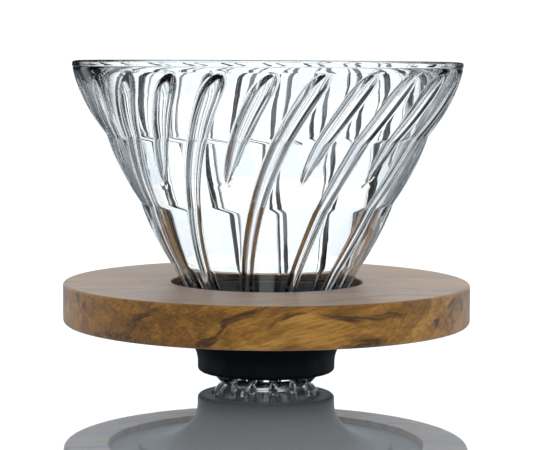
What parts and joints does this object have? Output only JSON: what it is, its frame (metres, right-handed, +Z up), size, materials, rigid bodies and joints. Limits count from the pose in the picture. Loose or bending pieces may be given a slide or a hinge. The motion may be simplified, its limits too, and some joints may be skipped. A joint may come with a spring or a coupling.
{
  "type": "pour over dripper",
  "caption": "Ribbed clear glass coffee cone with a tiered wall, standing in a turned wood collar on a black moulded base with a short stem.",
  "frame": {"origin": "centre of the glass outlet's foot, where the dripper stands on a table", "axes": "+Z up along the common axis of all the round pieces; -Y towards the viewer of the front; +X to the viewer's right"},
  "size_m": [0.12, 0.12, 0.095],
  "materials": {
    "clear_glass": "clear polished",
    "olive_wood": "oiled, streaked grain",
    "black_plastic": "satin black",
    "silicone": "matt dark grey"
  },
  "bodies": {
    "base": {"base_hub": "black_plastic", "seat_gasket": "silicone", "neck_grommet": "silicone"},
    "collar": {"wood_collar": "olive_wood"},
    "cone": {"glass_cone": "clear_glass"}
  },
  "joints": [
    {"name": "collar_lift", "type": "slide", "parent": "base", "child": "collar", "axis": [0, 0, 1], "range_m": [0, 0.05]},
    {"name": "cone_lift", "type": "slide", "parent": "collar", "child": "cone", "axis": [0, 0, 1], "range_m": [0, 0.06]}
  ]
}
